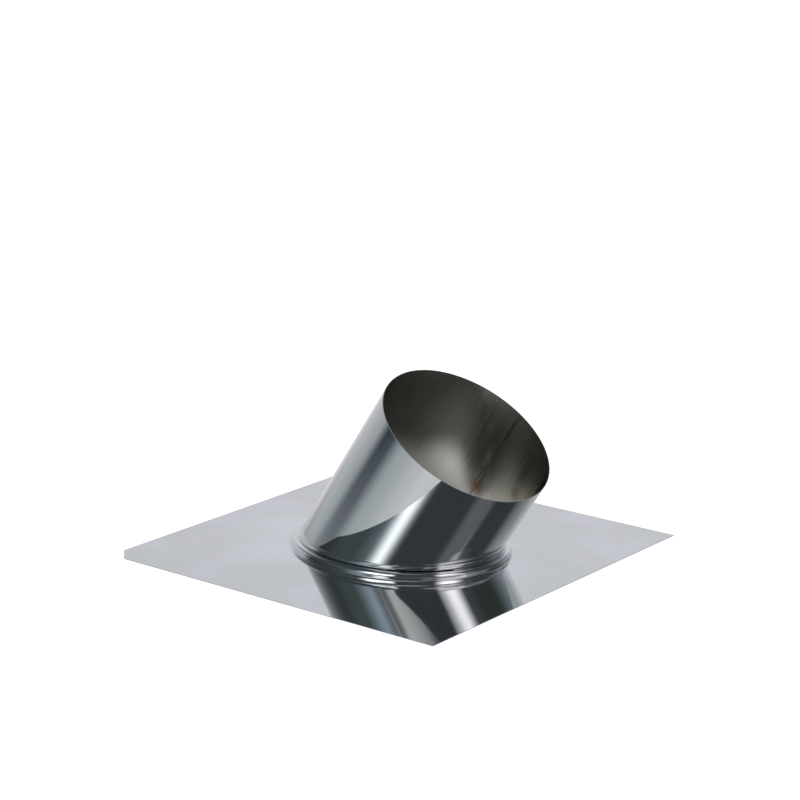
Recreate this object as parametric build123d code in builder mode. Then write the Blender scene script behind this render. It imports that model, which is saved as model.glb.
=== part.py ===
from build123d import *
from math import atan2, cos, degrees, hypot, radians, sin, tan
import os

# Pitched-roof flashing for a round flue: a square sheet plate with a drawn collar round an
# oval hole, and a rolled, welded sleeve that leans through it.
# Millimetres, +Z up. The origin is the middle of the plate's underside, where the sleeve's
# axis crosses it. The sleeve leans towards +X.

# Plate
plate_side = 450.0
plate_sheet = 0.8
corner_snip = 20.0

# Flue and sleeve
flue_diameter = 200.0
flue_clearance = 0.5
sleeve_sheet = 0.8
sleeve_length = 176.0
sleeve_lean = 33.5

# Collar drawn up round the hole: its shoulder is round, its tight root bend is a flat
collar_width = 10.5
collar_height = 8.8
collar_shoulder = 5.0
collar_root = 1.2
hole_clearance = 0.3

# Joint between sleeve and collar: a bead above the collar's lip, a flange below it
bead_radius = 2.8
bead_clearance = 0.2
bead_groove_sides = 6
flange_clearance = 1.5

# Long weld of the rolled sleeve
weld_side = 90.0
weld_width = 2.6
weld_rise = 0.35

# Worked-out sizes
lean = radians(sleeve_lean)
bore_radius = flue_diameter / 2 + flue_clearance
sleeve_radius = bore_radius + sleeve_sheet
wall_middle_radius = (bore_radius + sleeve_radius) / 2
stock_length = sleeve_length + 2 * sleeve_radius
lip_underside = collar_height - plate_sheet
flange_underside = lip_underside - sleeve_sheet
hollow_flat = collar_shoulder - 2 * plate_sheet
flange_reach = collar_width - collar_shoulder - flange_clearance
bead_level = collar_height + bead_clearance + bead_radius
bead_top = bead_level + bead_radius
weld_drop = wall_middle_radius * sin(lean) * cos(radians(weld_side))
weld_length = sleeve_length - (bead_top + weld_drop) / cos(lean)
weld_bulge = sleeve_sheet / 2 + weld_rise
same_level = 1e-6


def axis_shift(level):
    """How far the sleeve's axis has moved towards +X at this level."""
    return level * tan(lean)


def draw_oval(level, radius, growth=0.0):
    """Draws the level section of a leaning round wall, grown outwards, as four tangent arcs.

    The centres are those of the draughtsman's four-centre oval.
    """
    middle = axis_shift(level)
    long_half = radius / cos(lean)
    surplus = long_half - radius
    diagonal = hypot(long_half, radius)
    end_radius = diagonal * (diagonal - surplus) / (2 * long_half)
    side_radius = diagonal * (diagonal + surplus) / (2 * radius)
    end_centre = long_half - end_radius
    side_centre = side_radius - radius
    join = degrees(atan2(side_centre, end_centre))
    CenterArc((middle + end_centre, 0), end_radius + growth, -join, 2 * join)
    CenterArc((middle, -side_centre), side_radius + growth, join, 180 - 2 * join)
    CenterArc((middle - end_centre, 0), end_radius + growth, 180 - join, 2 * join)
    CenterArc((middle, side_centre), side_radius + growth, 180 + join, 180 - 2 * join)


def arcs_at(edges, level):
    """The arcs that lie at this level."""
    def is_at(arc):
        return abs(arc.center().Z - level) < same_level
    return edges.filter_by(GeomType.CIRCLE).filter_by(is_at)


# Planes square to the sleeve's axis; their first local axis points down the slope of the mouth
axis_direction = (sin(lean), 0, cos(lean))
across_axis = (cos(lean), 0, -sin(lean))
foot_plane = Plane(origin=(0, 0, 0), x_dir=across_axis, z_dir=axis_direction)
mouth_plane = foot_plane.offset(sleeve_length)

# The hollow under the collar, with a flat where the shoulder bends
with BuildPart() as collar_hollow:
    with BuildSketch():
        with BuildLine():
            draw_oval(collar_height, sleeve_radius, collar_width - plate_sheet)
        make_face()
    extrude(amount=lip_underside)
    chamfer(arcs_at(collar_hollow.edges(), lip_underside), hollow_flat)

# Square plate with the collar drawn up out of it, and the slanted round hole through its lip
with BuildPart() as base_plate:
    with BuildSketch() as outline:
        Rectangle(plate_side, plate_side)
        left_corner = outline.vertices().sort_by(Axis.Y).sort_by(Axis.X)[0]
        chamfer(left_corner, corner_snip)
    extrude(amount=plate_sheet)
    with BuildSketch():
        with BuildLine():
            draw_oval(collar_height, sleeve_radius, collar_width)
        make_face()
    extrude(amount=collar_height)
    chamfer(arcs_at(base_plate.edges(), plate_sheet), collar_root)
    fillet(arcs_at(base_plate.edges(), collar_height), collar_shoulder)
    add(collar_hollow.part, mode=Mode.SUBTRACT)
    chamfer(arcs_at(base_plate.edges(), 0), collar_root + plate_sheet)
    with BuildSketch(foot_plane):
        Circle(sleeve_radius + hole_clearance)
    extrude(amount=stock_length, both=True, mode=Mode.SUBTRACT)
base_plate.part.label = "base_plate"

# Oval ring along the wall's middle, at the level of the bead
with BuildLine(Plane.XY.offset(bead_level)) as bead_path:
    draw_oval(bead_level, wall_middle_radius)
bead_end = axis_shift(bead_level) + wall_middle_radius / cos(lean)
bead_section = Plane(origin=(bead_end, 0, bead_level), x_dir=(1, 0, 0), z_dir=(0, 1, 0))

# Section of the long weld, proud of the sheet inside and out
with BuildSketch() as weld_section:
    with BuildLine():
        SagittaArc((0, -weld_width / 2), (0, weld_width / 2), weld_bulge)
        SagittaArc((0, weld_width / 2), (0, -weld_width / 2), weld_bulge)
    make_face()

# Rolled sleeve: its foot is turned outwards under the lip, and a bead is pressed out above the lip
with BuildPart() as sleeve:
    with BuildSketch(mouth_plane):
        Circle(sleeve_radius)
    extrude(amount=-stock_length)
    split(bisect_by=Plane.XY.offset(flange_underside), keep=Keep.TOP)
    with BuildSketch(Plane.XY.offset(flange_underside)):
        with BuildLine():
            draw_oval(flange_underside, sleeve_radius, flange_reach)
        make_face()
    extrude(amount=sleeve_sheet)
    with BuildSketch(bead_section):
        Circle(bead_radius)
    sweep(path=bead_path.wires()[0])
    with BuildSketch(bead_section):
        RegularPolygon(bead_radius - sleeve_sheet, bead_groove_sides)
    sweep(path=bead_path.wires()[0], mode=Mode.SUBTRACT)
    with BuildSketch(mouth_plane):
        Circle(bore_radius)
    extrude(amount=-stock_length, mode=Mode.SUBTRACT)
    with BuildSketch(mouth_plane):
        with PolarLocations(wall_middle_radius, 1, start_angle=weld_side):
            add(weld_section.sketch)
    extrude(amount=-weld_length)
sleeve.part.label = "sleeve"

os.makedirs("parts", exist_ok=True)
export_step(base_plate.part, "parts/base_plate.step")
export_step(sleeve.part, "parts/sleeve.step")
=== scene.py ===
from math import atan2, cos, radians, sin, tan

import bmesh
import bpy
from mathutils import Matrix, Vector


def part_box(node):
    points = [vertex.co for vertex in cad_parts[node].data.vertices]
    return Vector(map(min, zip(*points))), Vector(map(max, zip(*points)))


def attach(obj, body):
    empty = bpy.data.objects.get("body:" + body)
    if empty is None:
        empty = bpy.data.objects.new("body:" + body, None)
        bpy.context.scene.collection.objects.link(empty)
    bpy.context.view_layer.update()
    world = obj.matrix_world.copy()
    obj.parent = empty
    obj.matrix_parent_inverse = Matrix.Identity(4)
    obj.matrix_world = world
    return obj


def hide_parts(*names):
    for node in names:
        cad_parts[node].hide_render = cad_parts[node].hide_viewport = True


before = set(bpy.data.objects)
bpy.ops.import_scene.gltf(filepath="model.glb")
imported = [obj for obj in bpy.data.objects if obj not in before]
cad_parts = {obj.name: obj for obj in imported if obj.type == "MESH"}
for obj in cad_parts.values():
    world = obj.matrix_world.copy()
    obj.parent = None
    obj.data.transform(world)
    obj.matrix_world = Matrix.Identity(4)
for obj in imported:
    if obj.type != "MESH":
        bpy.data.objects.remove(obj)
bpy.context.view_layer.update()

bl_info = {
    "name": "Roof Flashing",
    "version": (1, 0, 0),
    "blender": (4, 5, 0),
    "location": "View3D > Sidebar > Flashing",
    "description": "Dresses a pitched-roof flashing: square plate with a drawn collar, "
                   "and a leaning welded sleeve",
    "category": "Object",
}

PLATE_LOW, PLATE_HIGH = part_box("base_plate")
MM = 0.001

# Bends of the collar and of the bead, from the top down: radius, slope where it ends, steps.
# The long ones are the two crowned bands that shine round the collar, and the one round the bead.
COLLAR_BENDS = [(3.6 * MM, 31, 6), (14 * MM, 23, 4), (1.4 * MM, 10, 3), (34 * MM, 5, 3)]
BEAD_BENDS = [(0.75 * MM, 28, 4), (30 * MM, 22, 4), (1.15 * MM, -60, 7)]
LEVEL_SHEET = 90

# How far the collar's bends reach out together, and the ring of level sheet round its root
COLLAR_BENDS_REACH = 4.45 * MM
ROOT_MARGIN = 0.8 * MM
ROOT_STEPS = 6

# Where the wall swells into the bead, and where its bends begin: height above the bead's top, reach
BEAD_SWELL = [(1.2 * MM, 0.0), (0.3 * MM, 0.03 * MM)]
BEAD_CREST = (-0.05 * MM, 0.38 * MM)

# Sides of the weld's rod, and the angle from which an edge is left sharp
WELD_STEPS = 16
FOLD_ANGLE = radians(40)

# Patterns of the sheet: smooth steps as low and high, and stretches along the piece's own axes
CLOUD_SCALE = 11.0
CLOUD_STEP = (0.42, 0.62)
GRAIN_SCALE = 1.0
GRAIN_STEP = (0.3, 0.7)
GRAIN_SPREAD = (0.8, 1.3)
PLATE_GRAIN = (900, 14, 900)
SLEEVE_GRAIN = (700, 700, 10)
RIPPLE_DEPTH = 0.05 * MM
PLATE_RIPPLE_SCALE, PLATE_RIPPLE = 60.0, 0.06
SLEEVE_RIPPLE_SCALE, SLEEVE_RIPPLE = 45.0, 0.04
SLEEVE_RIPPLE_STRETCH = (1, 1, 0.3)

# Half the depth over which the wall's colour changes from outside to inside
WALL_CHANGE = 0.1 * MM

# Tint of the long weld: how far it fades to the side, and how uneven it is
WELD_SIDE_STEP = (0.0, 1 * MM)
WELD_FADE = (1.2 * MM, 3.2 * MM)
WELD_MOTTLE_SCALE = 55.0
WELD_MOTTLE = (0.35, 0.85)

# Painted reflection: paler sheet left of the collar, brightening what the plate mirrors there:
# place, reach, strength
PAINTED_SHEEN_SPOTS = [
    ((-135 * MM, -25 * MM, 0), 80 * MM, 0.9),
    ((-95 * MM, -100 * MM, 0), 75 * MM, 0.9),
]

# Heat tint inside the sleeve, in its own axes: place, reach, strength
HEAT_SPOTS = [
    ((2 * MM, 100.5 * MM, 64 * MM), 17 * MM, 0.9),
    ((50 * MM, 86 * MM, 104 * MM), 13 * MM, 0.6),
]

# The sheet mirrors the floor only under the sleeve; it fades out between these two distances
FLOOR_FADE = (0.14, 0.20)
FLOOR_GLOW = (0.85, 0.85, 0.85, 1)
FLOOR_PAINT = (0.8, 0.8, 0.8, 1)
# Painted shade: under the sleeve the floor's glow and paint are near black, in place of the shade
# under the plate
FLOOR_SHADE_GLOW = (0.024, 0.024, 0.022, 1)
FLOOR_SHADE_PAINT = (0.03, 0.03, 0.03, 1)
FLOOR_DROP = 0.2 * MM

# Painted light: glowing spots on the floor inside the sleeve, in place of light falling in through
# the mouth: middle, radius of its soft edge, colour
FLOOR_PAINTED_LIGHTS = [
    ((39 * MM, -20 * MM, 0), 92 * MM, (0.079, 0.079, 0.074)),
    ((-5 * MM, 2 * MM, 0), 44 * MM, (0.51, 0.505, 0.49)),
    ((-68 * MM, 33 * MM, 0), 97 * MM, (0.49, 0.485, 0.47)),
    ((-200 * MM, 0, 0), 133 * MM, (1.54, 1.50, 1.44)),
]

# The room as the sheet mirrors it, laid over each other in this order. Azimuth 0 is towards -Y
# and 90 towards +X; all angles are in degrees.
# Name, azimuth, elevation, half width, half height, softness across, softness up, colour
ROOM = [
    ("overhead", 0, 90, 200, 17, 1, 5, (0.50, 0.52, 0.53)),
    ("left wall", -100, 10, 24, 11, 8, 3, (0.40, 0.41, 0.43)),
    ("front right wall", 51, 11, 9, 6, 3, 2.5, (0.30, 0.31, 0.31)),
    ("right wall", 104, 14, 22, 12, 6, 4, (0.24, 0.25, 0.26)),
    ("low right window", 76, 17, 17, 14, 4, 4, (0.70, 0.70, 0.68)),
    ("window's right side", 3, 29, 10, 8, 3, 3, (1.60, 1.65, 1.65)),
    ("back wall", -148, 4, 44, 29, 39, 16, (0.64, 0.65, 0.68)),
    ("wall top", -161, 51, 21, 13.5, 20, 27.5, (0.79, 0.82, 0.80)),
    ("high window", -11, 29, 6, 9, 9, 8.3, (2.47, 2.58, 2.60)),
    ("window frame", -36, 26, 16.5, 20, 11, 4, (0.06, 0.08, 0.08)),
    ("right window", 75, 41, 11, 9, 10, 2.5, (2.56, 2.51, 2.43)),
    ("low window", 3, 5, 6, 4.8, 4, 4, (1.20, 1.22, 1.17)),
    ("low glow", -14, 15, 6.6, 13, 14.6, 7.3, (0.35, 0.43, 0.49)),
    ("ceiling", 89, 61, 24, 23, 11.5, 15, (0.14, 0.15, 0.15)),
    ("ceiling beam", 107, 58, 2.8, 11, 2.4, 7, (0.07, 0.08, 0.08)),
    ("ceiling strip", 112, 72.2, 5, 4.5, 4, 0.8, (0.75, 0.76, 0.76)),
    ("ground", 0, -51, 200, 51, 1, 2.7, (0.37, 0.41, 0.43)),
    ("lit ground", -15, -46, 45.5, 25, 56, 12.7, (0.65, 0.66, 0.67)),
    ("dark ground left", -53.4, -1.3, 15, 6, 8.5, 5.1, (0.0, 0.005, 0.02)),
    ("dark ground further left", -63.2, -0.1, 15.3, 4, 9.1, 2.8, (0.0, 0.005, 0.02)),
    ("dark ground by the wall", -100.5, -8.4, 13.5, 4.1, 9.6, 1.8, (0.11, 0.115, 0.12)),
    ("dark ground right", 49, -13, 60, 15, 17, 2.2, (0.09, 0.10, 0.11)),
    ("sill light", 6, -10, 16.6, 7.4, 20.7, 2.1, (0.51, 0.53, 0.51)),
    ("ground by the wall", -135, -8, 14, 12, 42, 5, (0.90, 0.85, 0.88)),
    ("side corner", 131, 21, 25.5, 14.5, 7.5, 9, (0.04, 0.05, 0.04)),
    ("wall's right end", 168, 26, 17.5, 15.7, 11.6, 13, (0.15, 0.19, 0.19)),
]
ROOM_SHADE = (0.045, 0.052, 0.055, 1)
WHITE = (1, 1, 1, 1)

LAMP_TURN = (radians(12), radians(-8), 0)

# Camera, worked out from the plate's edges and the mouth's rim
CAMERA_LENS, CAMERA_SENSOR = 108, 36
CAMERA_CLIP = (0.05, 50)
CAMERA_PLACE = (1.58956, -2.00517, 0.85903)
CAMERA_YAW, CAMERA_PITCH, CAMERA_ROLL = radians(38.3215), radians(15.0922), radians(-0.137)


class FlashingSizes(bpy.types.PropertyGroup):
    """Sizes of the plate, the collar and the sleeve"""

    plate_side: bpy.props.FloatProperty(
        name="Plate side", description="Side of the square plate",
        default=PLATE_HIGH.x - PLATE_LOW.x, unit="LENGTH", precision=4)
    corner_snip: bpy.props.FloatProperty(
        name="Corner snip", description="Leg of the cut at the left corner",
        default=20 * MM, unit="LENGTH", precision=4)
    sheet: bpy.props.FloatProperty(
        name="Sheet", description="Thickness of the plate's and the sleeve's sheet",
        default=0.8 * MM, unit="LENGTH", precision=5)
    collar_height: bpy.props.FloatProperty(
        name="Collar height", description="Top of the drawn collar above the plate's underside",
        default=PLATE_HIGH.z, unit="LENGTH", precision=5)
    collar_width: bpy.props.FloatProperty(
        name="Collar width", description="Reach of the collar from the sleeve's wall",
        default=10.5 * MM, unit="LENGTH", precision=5)
    hole_clearance: bpy.props.FloatProperty(
        name="Hole clearance", description="Gap between the sleeve's wall and the collar's lip",
        default=0.3 * MM, unit="LENGTH", precision=5)
    sleeve_radius: bpy.props.FloatProperty(
        name="Sleeve radius", description="Outer radius of the sleeve",
        default=101.3 * MM, unit="LENGTH", precision=5)
    sleeve_length: bpy.props.FloatProperty(
        name="Sleeve length",
        description="Length along the axis, from the plate's underside to the mouth",
        default=176 * MM, unit="LENGTH", precision=4)
    sleeve_lean: bpy.props.FloatProperty(
        name="Sleeve lean", description="Angle between the sleeve's axis and the plate's normal",
        default=radians(33.5), subtype="ANGLE")
    bead_radius: bpy.props.FloatProperty(
        name="Bead radius", description="Radius of the bead pressed out above the collar",
        default=2.8 * MM, unit="LENGTH", precision=5)
    bead_level: bpy.props.FloatProperty(
        name="Bead level", description="Level of the bead's middle",
        default=11.8 * MM, unit="LENGTH", precision=5)
    flange_reach: bpy.props.FloatProperty(
        name="Flange reach", description="Reach of the turned-out foot under the collar's lip",
        default=4.0 * MM, unit="LENGTH", precision=5)
    weld_width: bpy.props.FloatProperty(
        name="Weld width", description="Width of the long weld",
        default=2.6 * MM, unit="LENGTH", precision=5)
    weld_rise: bpy.props.FloatProperty(
        name="Weld rise", description="How far the long weld stands proud of the sheet",
        default=0.35 * MM, unit="LENGTH", precision=5)
    weld_start: bpy.props.FloatProperty(
        name="Weld start", description="Where the long weld begins, along the axis",
        default=17.7 * MM, unit="LENGTH", precision=5)
    weld_stop: bpy.props.FloatProperty(
        name="Weld stop", description="How far short of the mouth the long weld ends",
        default=0.3 * MM, unit="LENGTH", precision=5)
    round_steps: bpy.props.IntProperty(
        name="Steps round", description="Steps round the sleeve and the collar",
        default=360, min=48, max=720)


class FlashingFinish(bpy.types.PropertyGroup):
    """Colours and sheen of the sheet metal"""

    steel: bpy.props.FloatVectorProperty(
        name="Steel", description="Colour of the bright sheet",
        default=(0.79, 0.80, 0.81), subtype="COLOR")
    steel_cloud: bpy.props.FloatVectorProperty(
        name="Cloud", description="Colour of the faint clouds on the plate",
        default=(0.845, 0.84, 0.89), subtype="COLOR")
    # Painted reflection: this paler colour brightens what the plate mirrors at its spots
    steel_painted_sheen: bpy.props.FloatVectorProperty(
        name="Pale", description="Colour of the plate's paler places",
        default=(0.90, 0.92, 0.95), subtype="COLOR")
    steel_shine: bpy.props.FloatProperty(
        name="Plate roughness", description="Roughness of the plate's sheet",
        default=0.05, min=0, max=1)
    sleeve_shine: bpy.props.FloatProperty(
        name="Sleeve roughness", description="Roughness of the sleeve outside",
        default=0.035, min=0, max=1)
    inside: bpy.props.FloatVectorProperty(
        name="Inside", description="Colour of the sleeve inside",
        default=(0.78, 0.78, 0.74), subtype="COLOR")
    inside_shine: bpy.props.FloatProperty(
        name="Inside roughness", description="Roughness of the sleeve inside",
        default=0.14, min=0, max=1)
    weld_tint: bpy.props.FloatVectorProperty(
        name="Weld tint", description="Colour of the long weld",
        default=(0.42, 0.38, 0.32), subtype="COLOR")
    heat_brown: bpy.props.FloatVectorProperty(
        name="Heat brown", description="Heat tint at the weld and the tack inside",
        default=(0.42, 0.24, 0.16), subtype="COLOR")


class StageLook(bpy.types.PropertyGroup):
    """Floor and lamp"""

    floor_side: bpy.props.FloatProperty(
        name="Floor side", description="Side of the floor", default=12.0, unit="LENGTH")
    lamp_power: bpy.props.FloatProperty(
        name="Lamp strength", description="Strength of the soft lamp overhead", default=1.0)
    lamp_softness: bpy.props.FloatProperty(
        name="Lamp softness", description="Angle that the soft lamp fills",
        default=radians(25), subtype="ANGLE")


# Shapes

def lean_axis(sizes):
    """Unit vector along the sleeve's axis, from the plate to the mouth."""
    return Vector((sin(sizes.sleeve_lean), 0, cos(sizes.sleeve_lean)))


def wall_point(sizes, turn, level, reach=0.0):
    """Point where the wall's line at this turn crosses a level, pushed out level by reach."""
    lean = sizes.sleeve_lean
    long_half = sizes.sleeve_radius / cos(lean)
    outward = Vector((cos(turn) / long_half, sin(turn) / sizes.sleeve_radius, 0)).normalized()
    middle = Vector((level * tan(lean), 0, level))
    around = Vector((long_half * cos(turn), sizes.sleeve_radius * sin(turn), 0))
    return middle + around + outward * reach


def start_ring(bm, steps, place):
    """A ring of edges that remembers each vertex's turn round the sleeve."""
    turn = bm.verts.layers.float.new("turn")
    for vert in bmesh.ops.create_circle(bm, cap_ends=False, radius=1, segments=steps)["verts"]:
        vert[turn] = atan2(vert.co.y, vert.co.x)
        vert.co = place(vert[turn])
    return bm.edges[:]


def draw_ring(bm, ring, place):
    """Extrudes an open ring of edges and sets each new vertex; place takes the vertex's turn."""
    turn = bm.verts.layers.float["turn"]
    made = bmesh.ops.extrude_edge_only(bm, edges=ring)["geom"]
    for vert in [item for item in made if isinstance(item, bmesh.types.BMVert)]:
        vert.co = place(vert[turn])
    return [item for item in made if isinstance(item, bmesh.types.BMEdge) and item.is_boundary]


def bend_profile(level, reach, slope, bends):
    """Levels and reaches along tangent arcs, from a first point and its slope.

    Slopes are degrees from straight out, 90 for level sheet. Each bend is a radius, negative
    where it is hollow, the slope that it ends with, and its steps.
    """
    yield level, reach
    for radius, end, steps in bends:
        middle_level = level - radius * sin(radians(slope))
        middle_reach = reach - radius * cos(radians(slope))
        for step in range(1, steps + 1):
            angle = radians(slope + (end - slope) * step / steps)
            level = middle_level + radius * sin(angle)
            reach = middle_reach + radius * cos(angle)
            yield level, reach
        slope = end


def finish_piece(bm, name, material, node):
    """Makes the piece's object, smooth but for its folds, in place of the CAD node."""
    for face in bm.faces:
        face.smooth = True
    for edge in bm.edges:
        edge.smooth = not edge.is_manifold or edge.calc_face_angle() < FOLD_ANGLE
    mesh = bpy.data.meshes.new(name)
    bm.to_mesh(mesh)
    bm.free()
    mesh.materials.append(material)
    piece = bpy.data.objects.new(name, mesh)
    bpy.context.scene.collection.objects.link(piece)
    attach(piece, "root")
    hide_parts(node)


# Shader parts; each takes the node tree that it adds to

def put(tree, socket, value):
    """Links an output into an input, or sets the input to a plain value."""
    if isinstance(value, bpy.types.NodeSocket):
        tree.links.new(value, socket)
    else:
        socket.default_value = value


def maths(tree, operation, *values):
    """A Math node with outputs or numbers put into it."""
    node = tree.nodes.new("ShaderNodeMath")
    node.operation = operation
    for socket, value in zip(node.inputs, values):
        put(tree, socket, value)
    return node.outputs[0]


def between(tree, value, low, high, to_low=0.0, to_high=1.0):
    """A smooth step of a value from low to high."""
    node = tree.nodes.new("ShaderNodeMapRange")
    node.interpolation_type = "SMOOTHSTEP"
    tree.links.new(value, node.inputs["Value"])
    node.inputs["From Min"].default_value = low
    node.inputs["From Max"].default_value = high
    node.inputs["To Min"].default_value = to_low
    node.inputs["To Max"].default_value = to_high
    return node.outputs["Result"]


def lay_over(tree, under, factor, colour):
    """Colour mixed over what lies under it, by a factor."""
    mix = tree.nodes.new("ShaderNodeMix")
    mix.data_type = "RGBA"
    tree.links.new(factor, mix.inputs["Factor"])
    put(tree, mix.inputs["A"], under)
    put(tree, mix.inputs["B"], colour)
    return mix.outputs["Result"]


def coordinates(tree, name):
    """One output of the Texture Coordinate node."""
    return tree.nodes.new("ShaderNodeTexCoord").outputs[name]


def split_up(tree, vector):
    """The X, Y and Z of a vector."""
    split = tree.nodes.new("ShaderNodeSeparateXYZ")
    tree.links.new(vector, split.inputs[0])
    return split.outputs


def mapped(tree, place, key, value):
    """A place turned about the origin (Rotation) or stretched (Scale)."""
    mapping = tree.nodes.new("ShaderNodeMapping")
    mapping.inputs[key].default_value = value
    tree.links.new(place, mapping.inputs["Vector"])
    return mapping.outputs["Vector"]


def noise(tree, place, scale):
    """Value of a noise pattern at a place."""
    pattern = tree.nodes.new("ShaderNodeTexNoise")
    pattern.inputs["Scale"].default_value = scale
    tree.links.new(place, pattern.inputs["Vector"])
    return pattern.outputs["Fac"]


def away_from(tree, place, middle, *step):
    """A smooth step by the distance of a place from a middle."""
    gap = tree.nodes.new("ShaderNodeVectorMath")
    gap.operation = "DISTANCE"
    tree.links.new(place, gap.inputs[0])
    gap.inputs[1].default_value = middle
    return between(tree, gap.outputs["Value"], *step)


def soft_spot(tree, place, middle, reach, strength=1.0):
    """A soft round spot: its strength at the middle, nothing beyond its reach."""
    return away_from(tree, place, middle, 0.0, reach, strength, 0.0)


# Materials

def new_metal(name):
    """A metal's material, its node tree and its shader."""
    material = bpy.data.materials.new(name)
    material.use_nodes = True
    shader = material.node_tree.nodes["Principled BSDF"]
    shader.inputs["Metallic"].default_value = 1.0
    return material, material.node_tree, shader


def rolling_grain(tree, place, stretch):
    """Factor for the roughness, uneven across the sheet's fine rolling grain."""
    grain = noise(tree, mapped(tree, place, "Scale", stretch), GRAIN_SCALE)
    return between(tree, grain, *GRAIN_STEP, *GRAIN_SPREAD)


def ripple(tree, shader, height, strength):
    """Bump from a height, for the faint unevenness of rolled sheet."""
    bump = tree.nodes.new("ShaderNodeBump")
    bump.inputs["Strength"].default_value = strength
    bump.inputs["Distance"].default_value = RIPPLE_DEPTH
    tree.links.new(height, bump.inputs["Height"])
    tree.links.new(bump.outputs["Normal"], shader.inputs["Normal"])


def plate_sheet(finish):
    """Bright annealed sheet with faint lilac clouds, paler spots of painted reflection and fine
    rolling grain along Y.
    """
    material, tree, shader = new_metal("plate_sheet")
    place = coordinates(tree, "Object")
    clouds = between(tree, noise(tree, place, CLOUD_SCALE), *CLOUD_STEP)
    colour = lay_over(tree, (*finish.steel, 1), clouds, (*finish.steel_cloud, 1))
    # Paler spots of painted reflection, brightening what the plate mirrors there
    for middle, reach, strength in PAINTED_SHEEN_SPOTS:
        spot = soft_spot(tree, place, middle, reach, strength)
        colour = lay_over(tree, colour, spot, (*finish.steel_painted_sheen, 1))
    tree.links.new(colour, shader.inputs["Base Color"])
    grain = rolling_grain(tree, place, PLATE_GRAIN)
    roughness = maths(tree, "MULTIPLY", grain, finish.steel_shine)
    tree.links.new(roughness, shader.inputs["Roughness"])
    ripple(tree, shader, noise(tree, place, PLATE_RIPPLE_SCALE), PLATE_RIPPLE)
    return material


def sleeve_sheet(finish, sizes):
    """Bright sheet outside, duller inside; dark tint along the weld, brown heat tint inside."""
    material, tree, shader = new_metal("sleeve_sheet")
    place = mapped(tree, coordinates(tree, "Object"), "Rotation", (0, -sizes.sleeve_lean, 0))
    across, aside, _ = split_up(tree, place)
    radius = maths(tree, "SQRT", maths(
        tree, "ADD", maths(tree, "POWER", across, 2.0), maths(tree, "POWER", aside, 2.0)))
    middle = sizes.sleeve_radius - sizes.sheet / 2
    inside = between(tree, radius, middle - WALL_CHANGE, middle + WALL_CHANGE, 1.0, 0.0)
    colour = lay_over(tree, (*finish.steel, 1), inside, (*finish.inside, 1))

    beside = between(tree, maths(tree, "ABSOLUTE", across), *WELD_FADE, 1.0, 0.0)
    weld = maths(tree, "MULTIPLY", between(tree, aside, *WELD_SIDE_STEP), beside)
    mottle = between(tree, noise(tree, place, WELD_MOTTLE_SCALE), *GRAIN_STEP, *WELD_MOTTLE)
    tinted = maths(tree, "MULTIPLY", weld, mottle)
    colour = lay_over(tree, colour, tinted, (*finish.weld_tint, 1))
    for middle, reach, strength in HEAT_SPOTS:
        spot = soft_spot(tree, place, middle, reach, strength)
        heated = maths(tree, "MULTIPLY", spot, inside)
        colour = lay_over(tree, colour, heated, (*finish.heat_brown, 1))
    tree.links.new(colour, shader.inputs["Base Color"])

    duller = finish.inside_shine - finish.sleeve_shine
    shine = maths(tree, "MULTIPLY_ADD", inside, duller, finish.sleeve_shine)
    roughness = maths(tree, "MULTIPLY", rolling_grain(tree, place, SLEEVE_GRAIN), shine)
    tree.links.new(roughness, shader.inputs["Roughness"])
    waves = noise(tree, mapped(tree, place, "Scale", SLEEVE_RIPPLE_STRETCH), SLEEVE_RIPPLE_SCALE)
    ripple(tree, shader, waves, SLEEVE_RIPPLE)
    return material


def floor_material():
    """White floor that keeps a soft shadow; under the sleeve, painted shade with painted pools of
    light.
    """
    material = bpy.data.materials.new("floor_white")
    material.use_nodes = True
    tree = material.node_tree
    tree.nodes.remove(tree.nodes["Principled BSDF"])
    place = coordinates(tree, "Object")
    outside = away_from(tree, place, (0, 0, 0), *FLOOR_FADE)

    # Painted shade under the sleeve, with the painted pools of light laid over it
    colour = FLOOR_SHADE_GLOW
    for middle, reach, tint in FLOOR_PAINTED_LIGHTS:
        colour = lay_over(tree, colour, soft_spot(tree, place, middle, reach), (*tint, 1))
    colour = lay_over(tree, colour, outside, FLOOR_GLOW)
    glow = tree.nodes.new("ShaderNodeEmission")
    tree.links.new(colour, glow.inputs["Color"])
    paint = tree.nodes.new("ShaderNodeBsdfDiffuse")
    # Near-black paint under the sleeve: painted shade
    colour = lay_over(tree, FLOOR_SHADE_PAINT, outside, FLOOR_PAINT)
    tree.links.new(colour, paint.inputs["Color"])
    both = tree.nodes.new("ShaderNodeAddShader")
    tree.links.new(paint.outputs[0], both.inputs[0])
    tree.links.new(glow.outputs[0], both.inputs[1])

    clear = tree.nodes.new("ShaderNodeBsdfTransparent")
    seen = tree.nodes.new("ShaderNodeLightPath").outputs["Is Camera Ray"]
    unseen = maths(tree, "SUBTRACT", 1.0, seen)
    mix = tree.nodes.new("ShaderNodeMixShader")
    tree.links.new(maths(tree, "MULTIPLY", unseen, outside), mix.inputs[0])
    tree.links.new(both.outputs[0], mix.inputs[1])
    tree.links.new(clear.outputs[0], mix.inputs[2])
    tree.links.new(mix.outputs[0], tree.nodes["Material Output"].inputs["Surface"])
    return material


# Stage

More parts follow.
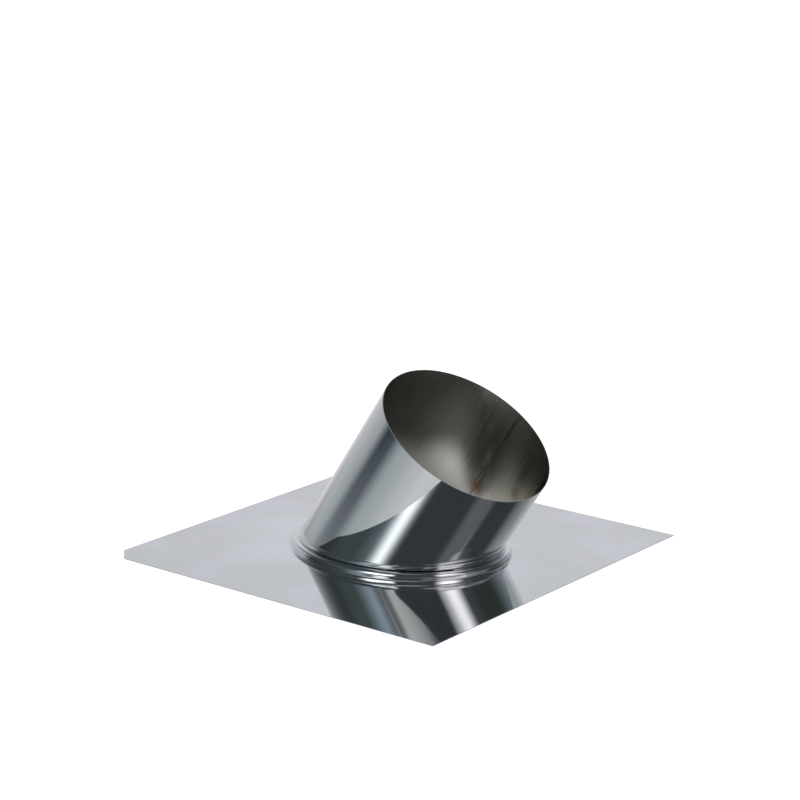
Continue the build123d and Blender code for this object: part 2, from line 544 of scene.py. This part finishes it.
def light_room(scene):
    """White for the camera; for the sheet, a dim room with pale ground, a back wall and windows."""
    world = bpy.data.worlds.new("room")
    scene.world = world
    world.use_nodes = True
    tree = world.node_tree
    x, y, z = split_up(tree, coordinates(tree, "Generated"))
    elevation = maths(tree, "DEGREES", maths(tree, "ARCSINE", z))
    backwards = maths(tree, "MULTIPLY", y, -1.0)
    azimuth = maths(tree, "DEGREES", maths(tree, "ARCTAN2", x, backwards))

    def near(angle, middle, half, soft):
        off = maths(tree, "SUBTRACT", angle, middle)
        if angle is azimuth:
            off = maths(tree, "WRAP", off, 180.0, -180.0)
        return between(tree, maths(tree, "ABSOLUTE", off), half - soft, half + soft, 1.0, 0.0)

    colour = ROOM_SHADE
    for _, turn, rise, half_width, half_height, soft_across, soft_up, tint in ROOM:
        inside = maths(
            tree, "MULTIPLY", near(azimuth, turn, half_width, soft_across),
            near(elevation, rise, half_height, soft_up))
        colour = lay_over(tree, colour, inside, (*tint, 1))
    seen = tree.nodes.new("ShaderNodeLightPath").outputs["Is Camera Ray"]
    tree.links.new(lay_over(tree, colour, seen, WHITE), tree.nodes["Background"].inputs["Color"])


def place_camera(scene):
    """Camera at its place, turned by its yaw and pitch and then rolled about its line of sight."""
    data = bpy.data.cameras.new("camera")
    data.lens = CAMERA_LENS
    data.sensor_width = CAMERA_SENSOR
    data.clip_start, data.clip_end = CAMERA_CLIP
    camera = bpy.data.objects.new("camera", data)
    scene.collection.objects.link(camera)
    right = Vector((cos(CAMERA_YAW), sin(CAMERA_YAW), 0))
    level_back = Vector((sin(CAMERA_YAW), -cos(CAMERA_YAW), 0))
    back = level_back * cos(CAMERA_PITCH) + Vector((0, 0, sin(CAMERA_PITCH)))
    up = back.cross(right)
    rolled_right = right * cos(CAMERA_ROLL) - up * sin(CAMERA_ROLL)
    rolled_up = right * sin(CAMERA_ROLL) + up * cos(CAMERA_ROLL)
    turned = Matrix((rolled_right, rolled_up, back)).transposed().to_4x4()
    camera.matrix_world = Matrix.Translation(CAMERA_PLACE) @ turned
    scene.camera = camera


class FLASHING_OT_plate(bpy.types.Operator):
    """Makes the square plate with its drawn collar"""

    bl_idname = "flashing.plate"
    bl_label = "Plate"

    def execute(self, context):
        sizes = context.scene.flashing_sizes
        sheet, top = sizes.sheet, sizes.collar_height
        bm = bmesh.new()
        ring = start_ring(
            bm, sizes.round_steps, lambda turn: wall_point(sizes, turn, top, sizes.hole_clearance))

        def collar_point(turn, level, reach):
            point = wall_point(sizes, turn, top, reach)
            point.z = level
            return point

        crown_reach = sizes.collar_width - COLLAR_BENDS_REACH
        profile = list(bend_profile(top, crown_reach, LEVEL_SHEET, COLLAR_BENDS))
        foot_level, foot_reach = profile[-1]
        _, slope, _ = COLLAR_BENDS[-1]
        root = (foot_level - sheet) / (1 - sin(radians(slope)))
        root_bend = [(-root, LEVEL_SHEET, ROOT_STEPS)]
        profile += list(bend_profile(foot_level, foot_reach, slope, root_bend))[1:]
        profile.append((sheet, profile[-1][1] + ROOT_MARGIN))
        for level, reach in profile:
            ring = draw_ring(bm, ring, lambda turn: collar_point(turn, level, reach))

        half, snip = sizes.plate_side / 2, sizes.corner_snip
        corners = [
            (half, -half), (half, half), (-half, half), (-half, snip - half), (snip - half, -half)]
        outline = [bm.verts.new((x, y, sheet)) for x, y in corners]
        border = [bm.edges.new(ends) for ends in zip(outline, outline[1:] + outline[:1])]
        bmesh.ops.triangle_fill(bm, use_beauty=True, edges=ring + border, normal=(0, 0, 1))
        bmesh.ops.recalc_face_normals(bm, faces=bm.faces)
        if sum(face.normal.z * face.calc_area() for face in bm.faces) < 0:
            bmesh.ops.reverse_faces(bm, faces=bm.faces)
        bmesh.ops.solidify(bm, geom=bm.faces[:], thickness=sheet)
        material = plate_sheet(context.scene.flashing_finish)
        finish_piece(bm, "plate", material, "base_plate")
        return {"FINISHED"}


class FLASHING_OT_sleeve(bpy.types.Operator):
    """Makes the leaning sleeve with its bead, its turned-out foot and its long weld"""

    bl_idname = "flashing.sleeve"
    bl_label = "Sleeve"

    def execute(self, context):
        sizes = context.scene.flashing_sizes
        bm = bmesh.new()
        axis = lean_axis(sizes)
        across = Vector((cos(sizes.sleeve_lean), 0, -sin(sizes.sleeve_lean)))
        aside = Vector((0, 1, 0))

        def mouth_point(turn):
            around = across * cos(turn) + aside * sin(turn)
            return axis * sizes.sleeve_length + around * sizes.sleeve_radius

        # Wall from the mouth down, with the bead; then the foot, turned out under the lip
        ring = start_ring(bm, sizes.round_steps, mouth_point)
        bead_top = sizes.bead_level + sizes.bead_radius
        crest_height, crest_reach = BEAD_CREST
        section = [(bead_top + height, reach) for height, reach in BEAD_SWELL]
        section += bend_profile(bead_top + crest_height, crest_reach, LEVEL_SHEET, BEAD_BENDS)
        bead_foot = sizes.bead_level - sizes.bead_radius
        foot = sizes.collar_height - sizes.sheet
        section += [(bead_foot, 0.0), (foot, 0.0), (foot, sizes.flange_reach)]
        for level, reach in section:
            ring = draw_ring(bm, ring, lambda turn: wall_point(sizes, turn, level, reach))
        bmesh.ops.recalc_face_normals(bm, faces=bm.faces)
        rightmost = max(bm.faces, key=lambda face: face.calc_center_median().x)
        if rightmost.normal.x < 0:
            bmesh.ops.reverse_faces(bm, faces=bm.faces)
        bmesh.ops.solidify(bm, geom=bm.faces[:], thickness=sizes.sheet)

        # Long weld, a flattened rod in the wall
        start, stop = sizes.weld_start, sizes.sleeve_length - sizes.weld_stop
        weld = bmesh.ops.create_cone(
            bm, cap_ends=True, segments=WELD_STEPS, radius1=1, radius2=1,
            depth=stop - start)["verts"]
        thick = sizes.sheet / 2 + sizes.weld_rise
        bmesh.ops.scale(bm, verts=weld, vec=(sizes.weld_width / 2, thick, 1))
        wall_middle = sizes.sleeve_radius - sizes.sheet / 2
        bmesh.ops.translate(bm, verts=weld, vec=(0, wall_middle, (start + stop) / 2))
        lie_along = Matrix((across, aside, axis)).transposed().to_4x4()
        bmesh.ops.transform(bm, verts=weld, matrix=lie_along)
        material = sleeve_sheet(context.scene.flashing_finish, sizes)
        finish_piece(bm, "flue_sleeve", material, "sleeve")
        return {"FINISHED"}


class FLASHING_OT_stage(bpy.types.Operator):
    """Makes the floor, the room's light, the lamp and the camera"""

    bl_idname = "flashing.stage"
    bl_label = "Stage"

    def execute(self, context):
        look = context.scene.flashing_stage
        bm = bmesh.new()
        bmesh.ops.create_grid(bm, x_segments=1, y_segments=1, size=look.floor_side / 2)
        mesh = bpy.data.meshes.new("floor")
        bm.to_mesh(mesh)
        bm.free()
        mesh.materials.append(floor_material())
        floor = bpy.data.objects.new("floor", mesh)
        floor.location.z = -FLOOR_DROP
        context.scene.collection.objects.link(floor)
        light_room(context.scene)

        lamp_data = bpy.data.lights.new("soft_lamp", "SUN")
        lamp_data.energy = look.lamp_power
        lamp_data.angle = look.lamp_softness
        lamp = bpy.data.objects.new("soft_lamp", lamp_data)
        lamp.rotation_euler = LAMP_TURN
        lamp.visible_glossy = False
        context.scene.collection.objects.link(lamp)
        place_camera(context.scene)
        return {"FINISHED"}


class FLASHING_PT_panel(bpy.types.Panel):
    """Lists the flashing's sizes, finish and pieces"""

    bl_label = "Roof Flashing"
    bl_idname = "FLASHING_PT_panel"
    bl_space_type = "VIEW_3D"
    bl_region_type = "UI"
    bl_category = "Flashing"

    def draw(self, context):
        layout, scene = self.layout, context.scene
        for group in (scene.flashing_sizes, scene.flashing_finish, scene.flashing_stage):
            box = layout.box()
            for name in group.__annotations__:
                box.prop(group, name)
        for operator in (FLASHING_OT_plate, FLASHING_OT_sleeve, FLASHING_OT_stage):
            layout.operator(operator.bl_idname)


CLASSES = (
    FlashingSizes, FlashingFinish, StageLook,
    FLASHING_OT_plate, FLASHING_OT_sleeve, FLASHING_OT_stage, FLASHING_PT_panel,
)


def register():
    for cls in CLASSES:
        bpy.utils.register_class(cls)
    bpy.types.Scene.flashing_sizes = bpy.props.PointerProperty(type=FlashingSizes)
    bpy.types.Scene.flashing_finish = bpy.props.PointerProperty(type=FlashingFinish)
    bpy.types.Scene.flashing_stage = bpy.props.PointerProperty(type=StageLook)


def unregister():
    del bpy.types.Scene.flashing_stage
    del bpy.types.Scene.flashing_finish
    del bpy.types.Scene.flashing_sizes
    for cls in reversed(CLASSES):
        bpy.utils.unregister_class(cls)


def main():
    register()
    bpy.context.scene.view_settings.view_transform = "Standard"
    bpy.ops.flashing.plate()
    bpy.ops.flashing.sleeve()
    bpy.ops.flashing.stage()


if __name__ == "__main__":
    main()
